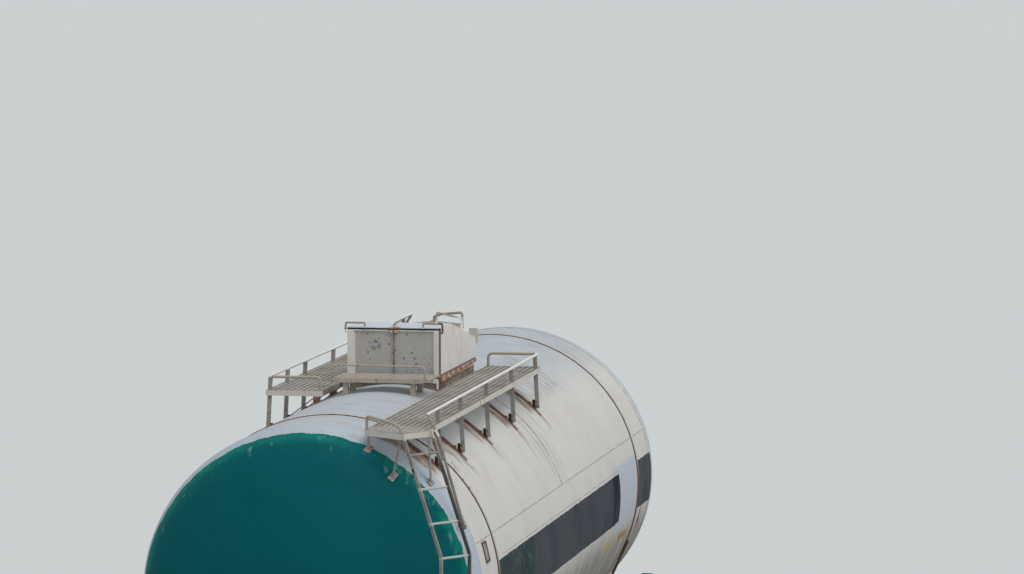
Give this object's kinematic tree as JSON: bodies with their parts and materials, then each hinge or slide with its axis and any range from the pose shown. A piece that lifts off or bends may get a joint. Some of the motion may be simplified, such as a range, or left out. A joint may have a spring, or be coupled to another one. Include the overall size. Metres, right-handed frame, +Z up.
{
  "type": "railway tank car",
  "caption": "Railway tank car for liquefied gas on broad-gauge bogies, with rolling wheelsets, pivoting bogies and a hinged hood over the valves.",
  "frame": {"origin": "under the middle of the car, on the floor at the foot of the wheel flanges", "axes": "+X along the car from end A to end B, +Y to the left side, +Z up"},
  "size_m": [12.236, 3.044, 4.9643],
  "materials": {
    "tank_paint": "satin paint, weathered",
    "hood_paint": "dull cream paint, rust spots",
    "valve_steel": "dull",
    "strap_steel": "rusted",
    "timber": "tarred",
    "brake_paint": "dull black paint",
    "deck_paint": "worn grey paint",
    "frame_paint": "dark green paint, dusty",
    "wheel_steel": "rusted with a bright tread",
    "axle_steel": "rusted",
    "bogie_iron": "dusty casting",
    "coupler_iron": "rusty casting"
  },
  "bodies": {
    "car": {"air_reservoir": "brake_paint", "bolsters": "frame_paint", "brake_cylinder": "brake_paint", "brake_pipe": "brake_paint", "brake_rods": "brake_paint", "centre_sill": "frame_paint", "corner_steps": "frame_paint", "couplers": "coupler_iron", "cross_bearers": "frame_paint", "distributor": "brake_paint", "draft_gears": "frame_paint", "end_cocks": "brake_paint", "end_sills": "frame_paint", "hood_collar": "hood_paint", "ladder_left": "deck_paint", "ladder_right": "deck_paint", "manhole": "hood_paint", "middle_supports": "frame_paint", "railing_left": "deck_paint", "railing_right": "deck_paint", "saddle_timbers": "timber", "saddles": "frame_paint", "side_sills": "frame_paint", "step_platform": "hood_paint", "tank": "tank_paint", "tank_straps": "strap_steel", "uncoupling_levers": "frame_paint", "valves": "valve_steel", "walkway_left": "deck_paint", "walkway_right": "deck_paint"},
    "hood": {"hood": "hood_paint"},
    "wheelset_1": {"axle_1": "axle_steel", "wheels_1": "wheel_steel"},
    "wheelset_2": {"axle_2": "axle_steel", "wheels_2": "wheel_steel"},
    "wheelset_3": {"axle_3": "axle_steel", "wheels_3": "wheel_steel"},
    "wheelset_4": {"axle_4": "axle_steel", "wheels_4": "wheel_steel"},
    "bogie_a": {"bogie_a_axle_boxes": "bogie_iron", "bogie_a_bolster": "bogie_iron", "bogie_a_brake_beams": "bogie_iron", "bogie_a_side_frames": "bogie_iron", "bogie_a_springs": "bogie_iron"},
    "bogie_b": {"bogie_b_axle_boxes": "bogie_iron", "bogie_b_bolster": "bogie_iron", "bogie_b_brake_beams": "bogie_iron", "bogie_b_side_frames": "bogie_iron", "bogie_b_springs": "bogie_iron"}
  },
  "joints": [
    {"name": "hood_hinge", "type": "hinge", "parent": "car", "child": "hood", "pos_m": [0.626, 0, 4.388], "axis": [0, 1, 0], "range_deg": [0, 85]},
    {"name": "bogie_a_pivot", "type": "hinge", "parent": "car", "child": "bogie_a", "pos_m": [-3.9, 0, 0.834], "axis": [0, 0, 1], "range_deg": [-5, 5]},
    {"name": "bogie_b_pivot", "type": "hinge", "parent": "car", "child": "bogie_b", "pos_m": [3.9, 0, 0.834], "axis": [0, 0, 1], "range_deg": [-5, 5]},
    {"name": "wheelset_1_spin", "type": "hinge", "parent": "bogie_a", "child": "wheelset_1", "pos_m": [-4.825, 0, 0.5065], "axis": [0, 1, 0], "continuous": true},
    {"name": "wheelset_2_spin", "type": "hinge", "parent": "bogie_a", "child": "wheelset_2", "pos_m": [-2.975, 0, 0.5065], "axis": [0, 1, 0], "continuous": true},
    {"name": "wheelset_3_spin", "type": "hinge", "parent": "bogie_b", "child": "wheelset_3", "pos_m": [2.975, 0, 0.5065], "axis": [0, 1, 0], "continuous": true},
    {"name": "wheelset_4_spin", "type": "hinge", "parent": "bogie_b", "child": "wheelset_4", "pos_m": [4.825, 0, 0.5065], "axis": [0, 1, 0], "continuous": true}
  ]
}
